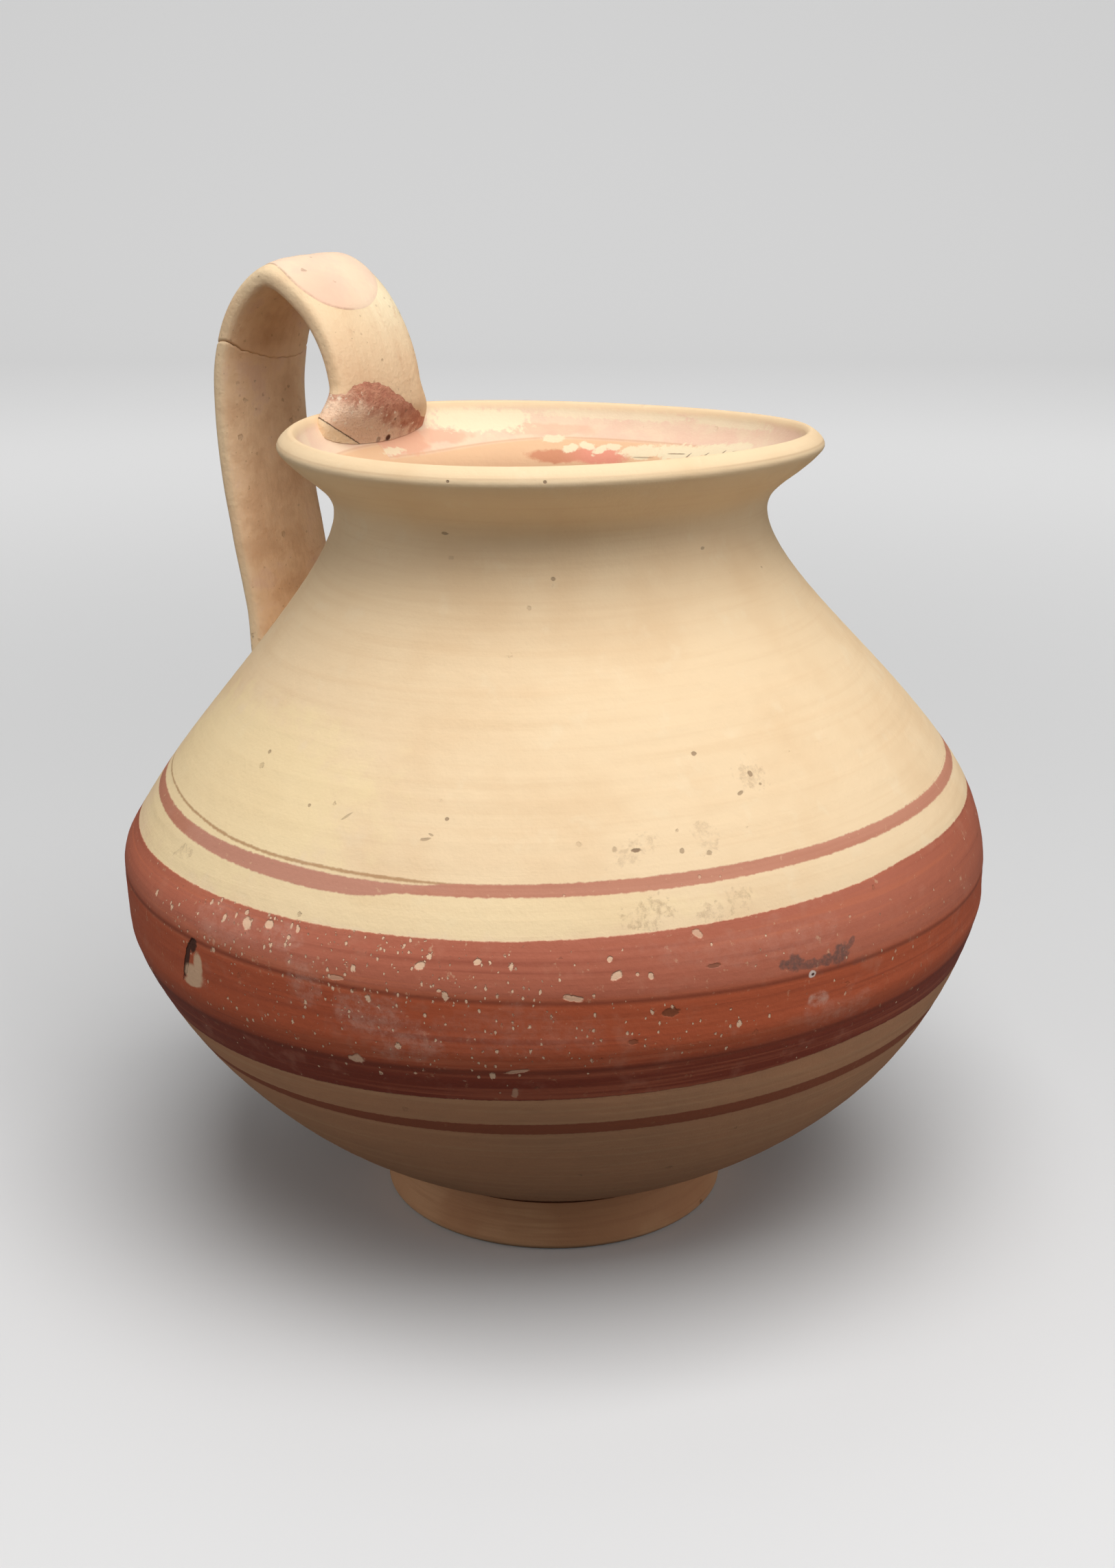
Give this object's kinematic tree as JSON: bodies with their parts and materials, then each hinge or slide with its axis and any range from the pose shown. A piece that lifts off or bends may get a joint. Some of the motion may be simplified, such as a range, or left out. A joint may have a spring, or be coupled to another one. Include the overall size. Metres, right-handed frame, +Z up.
{
  "type": "ceramic jug",
  "caption": "Round-bellied ceramic jug with a pinched neck, flared mouth, ring foot and one mended strap handle rising above the rim, for holding and pouring liquids.",
  "frame": {"origin": "centre of the ring that the foot stands on, in the plane of the table", "axes": "+Z up along the jug's turning axis; -X towards the handle, which stands in the XZ plane; +Y completes the right-handed frame"},
  "size_m": [0.187, 0.187, 0.2042],
  "materials": {
    "slip_body": "satin pale slip with painted red-brown bands, worn and flecked",
    "foot_clay": "bare smoothed buff clay",
    "slip_handle": "satin pale slip, rubbed and speckled",
    "red_fill": "matt red-brown fill, scraped and speckled",
    "pink_fill": "matt pale pink fill, smoothed level with the slip"
  },
  "bodies": {
    "root": {"body": "slip_body", "foot_ring": "foot_clay", "handle_lower": "slip_handle", "handle_upper": "slip_handle", "handle_root_fill": "red_fill", "handle_crown_fill": "pink_fill"}
  },
  "joints": []
}
